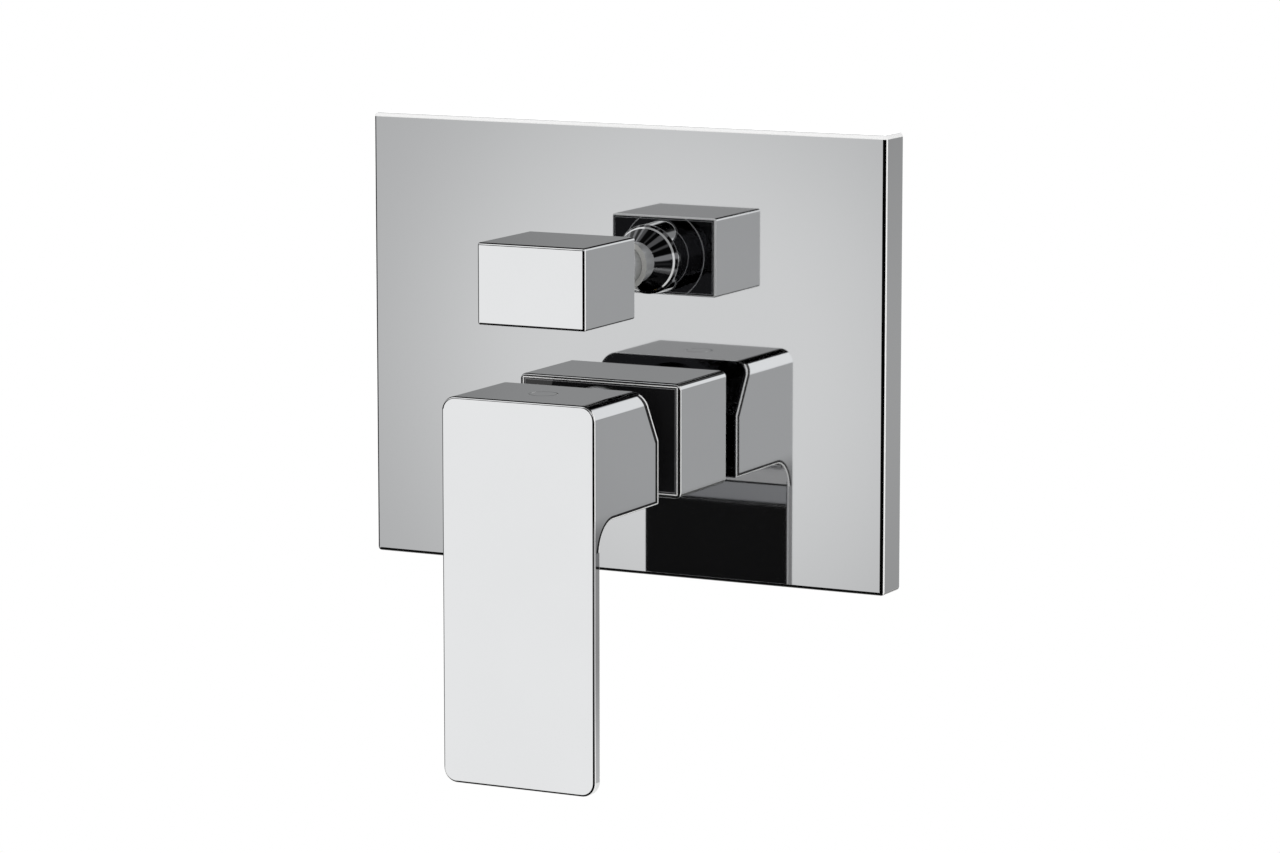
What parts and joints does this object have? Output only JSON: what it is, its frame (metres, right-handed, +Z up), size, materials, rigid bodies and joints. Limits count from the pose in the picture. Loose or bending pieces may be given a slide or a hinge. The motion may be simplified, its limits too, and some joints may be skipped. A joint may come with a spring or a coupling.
{
  "type": "concealed shower mixer",
  "caption": "Wall-mounted concealed shower mixer: a flat cover plate, a rectangular lever for flow and temperature, and a pull-out diverter knob.",
  "frame": {"origin": "centre of the cover plate, on the finished wall's surface", "axes": "+X to the right as the user faces the wall, +Y into the wall, +Z up"},
  "size_m": [0.18, 0.1406, 0.1988],
  "materials": {
    "chrome_plate": "mirror-polished chrome plating",
    "chrome_handle": "mirror-polished chrome plating on cast metal",
    "cover_chrome": "bright chrome plating on turned brass",
    "forged_brass": "shot-blasted forging with machined mouths",
    "turned_brass": "turned",
    "stainless": "turned stainless steel",
    "cartridge_plastic": "moulded",
    "turret_plastic": "moulded",
    "bushing_plastic": "moulded",
    "ceramic": "lapped",
    "black_rubber": "moulded",
    "foam": "closed-cell foam strip"
  },
  "bodies": {
    "fixed": {"wall_plate": "chrome_plate", "plate_seal": "foam", "plate_grip_ring": "black_rubber", "stem_bushing": "bushing_plastic", "handle_sleeve": "chrome_handle", "sleeve_oring": "black_rubber", "dome_cover": "cover_chrome", "stop_ring": "turret_plastic", "cartridge_housing": "cartridge_plastic", "cartridge_nut": "turned_brass", "cartridge_base": "turret_plastic", "cartridge_oring": "black_rubber", "base_seals": "black_rubber", "fixed_disc": "ceramic", "diverter_bonnet": "turned_brass", "rod_orings": "black_rubber", "bonnet_seal": "black_rubber", "valve_body": "forged_brass", "duct_plugs": "turned_brass"},
    "swivel": {"spindle_turret": "turret_plastic", "spindle_pin": "stainless"},
    "disc_carrier": {"moving_disc": "ceramic", "disc_driver": "turret_plastic"},
    "lever": {"lever_spindle": "turned_brass", "lever_handle": "chrome_handle", "lever_screw": "stainless", "lever_cap": "chrome_handle"},
    "diverter": {"diverter_knob": "chrome_handle", "knob_stem": "chrome_handle", "knob_screw": "stainless", "diverter_rod": "stainless", "front_washer": "black_rubber", "valve_flange": "turned_brass", "rear_washer": "black_rubber", "valve_nut": "turned_brass"}
  },
  "joints": [
    {"name": "lever_swivel", "type": "hinge", "parent": "fixed", "child": "swivel", "pos_m": [0, -0.033, -0.025], "axis": [0, -1, 0], "range_deg": [-45, 45]},
    {"name": "lever_lift", "type": "hinge", "parent": "swivel", "child": "lever", "pos_m": [0, -0.033, -0.025], "axis": [-1, 0, 0], "range_deg": [0, 15]},
    {"name": "disc_slide", "type": "slide", "parent": "swivel", "child": "disc_carrier", "axis": [0, 0, -1], "range_m": [0, 0.0047]},
    {"name": "diverter_pull", "type": "slide", "parent": "fixed", "child": "diverter", "axis": [0, -1, 0], "range_m": [0, 0.008]}
  ],
  "couplings": [
    {"joint": "disc_slide", "follows": "lever_lift", "m_per_rad": 0.0178}
  ]
}
